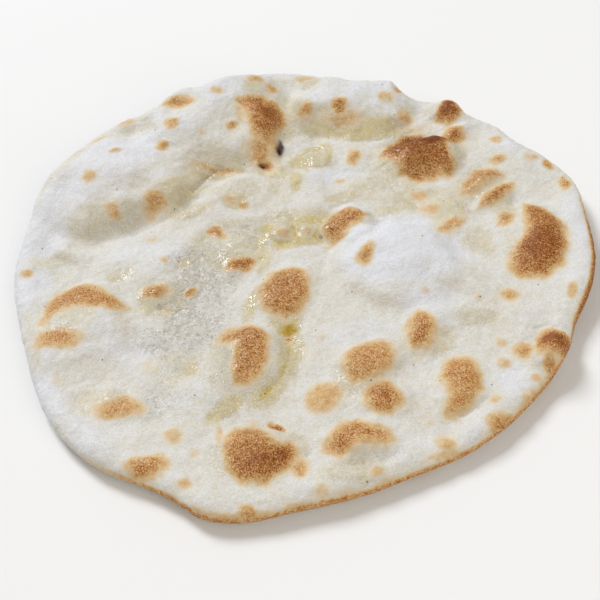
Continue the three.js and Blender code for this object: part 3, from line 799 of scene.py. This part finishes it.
# Pale and dark grains; the pale ones are partly painted highlights, the crust's tiny glints.
grains = patches(browned, place, 0.65, (0.37, 0.63), (0.28, -0.32), roughness=0.65)
grains = calculate(browned, "MULTIPLY", grains, stretch(browned, given["Tone"], 0.28, 0.64))
tone = calculate(browned, "ADD", given["Tone"], calculate(browned, "ADD", border, grains), clamp=True)
toasted = ramp_of(browned, tone, TOAST_STEPS)
browned_share = stretch(browned, tone, 0.02, 0.2)
browned.links.new(blend_colors(browned, browned_share, given["Raw"], toasted), result["Color"])
browned.links.new(tone, result["Tone"])
print("nodes for the browning:", len(browned.nodes))

# %% [markdown]
# ## The crust's material
# The groups give colours and masks, and read where each place is and what the mesh keeps for it. The shader
# itself stays here, and its plain numbers are set on its own sockets.

# %% Crust
crust = bpy.data.materials.new("crust")
crust.use_nodes = True
tree = crust.node_tree
shader = tree.nodes["Principled BSDF"]
position = add_node(tree, "ShaderNodeTexCoord").outputs["Object"]


def stored(name):
    """The number that the mesh keeps under that name."""
    return add_node(tree, "ShaderNodeAttribute", attribute_name=name).outputs["Fac"]


def use_group(group, sockets):
    """Places a node group in the crust's tree and plugs its sockets in."""
    node = add_node(tree, "ShaderNodeGroup", node_tree=group)
    for socket, value in sockets.items():
        tree.links.new(value, node.inputs[socket])
    return node.outputs


raw = use_group(dough, {"Position": position, "Moist and shade": stored("moist_and_shade"), "Hollow": stored("hollow")})["Color"]
baked = use_group(browned, {"Position": position, "Tone": stored("toast"), "Raw": raw})

# %% [markdown]
# ## Char and specks
# In the holes the dough has burned black, and a few specks of burned flour lie on the skin. The specks
# could be placed one by one like the spots. As they are all alike, a cell pattern with one small dot in
# each cell does it.

# %% Char and specks
CHAR = (0.045, 0.007, 0.003, 1)
SPECK_SPACING = 36  # millimetres
SPECK_EDGE = (0.008, 0.012)  # in shares of the spacing
SPECK_STRENGTH = 0.75
specks = add_node(
    tree,
    "ShaderNodeTexVoronoi",
    {"Vector": position, "Scale": 1 / (SPECK_SPACING * MM)},
    voronoi_dimensions="2D",
)
speck = stretch(tree, specks.outputs["Distance"], *SPECK_EDGE, SPECK_STRENGTH, 0.0)
burned = calculate(tree, "MAXIMUM", stored("char"), speck)
tree.links.new(blend_colors(tree, burned, baked["Color"], CHAR), shader.inputs["Base Color"])

# %% [markdown]
# ## Grain and gloss
# The dough's grain is a fine bump. Butter could be a clear coat, but a coat ignores the bump, and its gloss
# would lie in large smooth patches. So moist places only carry small smooth droplets, in which the bump is
# weaker, and what is left of it breaks their gloss into sparkles.

# %% Droplets of butter
GLOSS_SPAN = (0.28, 0.5)  # from how moist a place shines to how moist it shines fully
HOLLOW_GLOSS = 0.75
sunken_gloss = calculate(tree, "MULTIPLY", stored("hollow"), HOLLOW_GLOSS)
wet = calculate(tree, "MAXIMUM", stretch(tree, stored("moist_and_shade"), *GLOSS_SPAN), sunken_gloss)
patchy_wet = calculate(tree, "MULTIPLY", wet, patches(tree, position, 14, (0.38, 0.52)))
beads = patches(tree, position, 0.9, (0.42, 0.52), roughness=0.7)
droplets = calculate(tree, "MULTIPLY", patchy_wet, beads)

# %% Relief
FIBRE_SHARE = 1.4  # the coarse grain against the fine one
LEFT_UNDER_DROPLETS = 0.3
fine = noise_at(tree, position, 0.8, roughness=0.6)
fibre = noise_at(tree, position, 3.2)
height = calculate(tree, "ADD", fine, calculate(tree, "MULTIPLY", fibre, FIBRE_SHARE))
height = calculate(tree, "MULTIPLY", height, stretch(tree, droplets, 0, 1, 1, LEFT_UNDER_DROPLETS))
bump = add_node(tree, "ShaderNodeBump", {"Height": height, "Strength": 0.6, "Distance": 0.4 * MM})
tree.links.new(bump.outputs["Normal"], shader.inputs["Normal"])

# %% Gloss
RAW_ROUGHNESS, TOASTED_ROUGHNESS, WET_ROUGHNESS = 0.68, 0.6, 0.15
baked_roughness = stretch(tree, baked["Tone"], 0.3, 0.8, RAW_ROUGHNESS, TOASTED_ROUGHNESS)
sockets = {0: droplets, 2: baked_roughness, 3: WET_ROUGHNESS}
roughness = add_node(tree, "ShaderNodeMix", sockets, data_type="FLOAT").outputs[0]
tree.links.new(roughness, shader.inputs["Roughness"])
shader.inputs["Specular IOR Level"].default_value = 0.36
naan.data.materials.append(crust)
print("nodes for the crust:", len(tree.nodes))

# %% Tell the frame what the bread is
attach(naan, "root")
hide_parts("naan")

# %% [markdown]
# ## Table, light and camera
# The bread lies on a plain pale table. A large soft light stands behind it to the left, so the pillows'
# near sides fall into a warm half shade, and a weak warm light from the front keeps them readable. The
# camera looks down at the bread from the near side, turned a little about its own line of sight.

# %% Table
TABLE_SIZE = 6  # metres
TABLE_COLOR, TABLE_ROUGHNESS = (0.86, 0.86, 0.865, 1), 0.9
bpy.ops.mesh.primitive_plane_add(size=TABLE_SIZE)
table = bpy.context.active_object
table.name = "table"
pale = bpy.data.materials.new("pale_table")
pale.use_nodes = True
pale_shader = pale.node_tree.nodes["Principled BSDF"]
pale_shader.inputs["Base Color"].default_value = TABLE_COLOR
pale_shader.inputs["Roughness"].default_value = TABLE_ROUGHNESS
table.data.materials.append(pale)
print("table:", TABLE_SIZE, "m square")


# %% Lights
def soft_light(name, place, size, watts, color):
    """A square area light that looks at the bread."""
    bpy.ops.object.light_add(type="AREA", location=place)
    light = bpy.context.active_object
    light.name = name
    light.data.size = size
    light.data.energy = watts
    light.data.color = color
    light.rotation_euler = (-Vector(place)).to_track_quat("-Z", "Y").to_euler()


soft_light("window", (-1.65, 2.55, 2.7), size=1.35, watts=135, color=(0.93, 0.96, 1.0))
soft_light("fill", (0.75, -1.0, 0.7), size=1.2, watts=7.4, color=(1.0, 0.93, 0.83))

ROOM_COLOR, ROOM_STRENGTH = (1.0, 0.97, 0.91, 1), 0.41
world = bpy.data.worlds.new("room")
bpy.context.scene.world = world
world.use_nodes = True
world.node_tree.nodes["Background"].inputs["Color"].default_value = ROOM_COLOR
world.node_tree.nodes["Background"].inputs["Strength"].default_value = ROOM_STRENGTH

# %% Camera
EYE = Vector((-2.4, -328.1, 350.1)) * MM
LOOK_AT = Vector((-2.4, -21.75, 0)) * MM
ROLL = math.radians(-4.68)
bpy.ops.object.camera_add(location=EYE)
camera = bpy.context.active_object
camera.data.lens = 60
camera.data.sensor_width = 36
camera.data.clip_start = 0.01
aim = (LOOK_AT - EYE).to_track_quat("-Z", "Y").to_matrix() @ Matrix.Rotation(ROLL, 3, "Z")
camera.rotation_euler = aim.to_euler()
bpy.context.scene.camera = camera
bpy.context.scene.view_settings.view_transform = "Standard"
print("camera distance:", round((LOOK_AT - EYE).length, 3), "m")
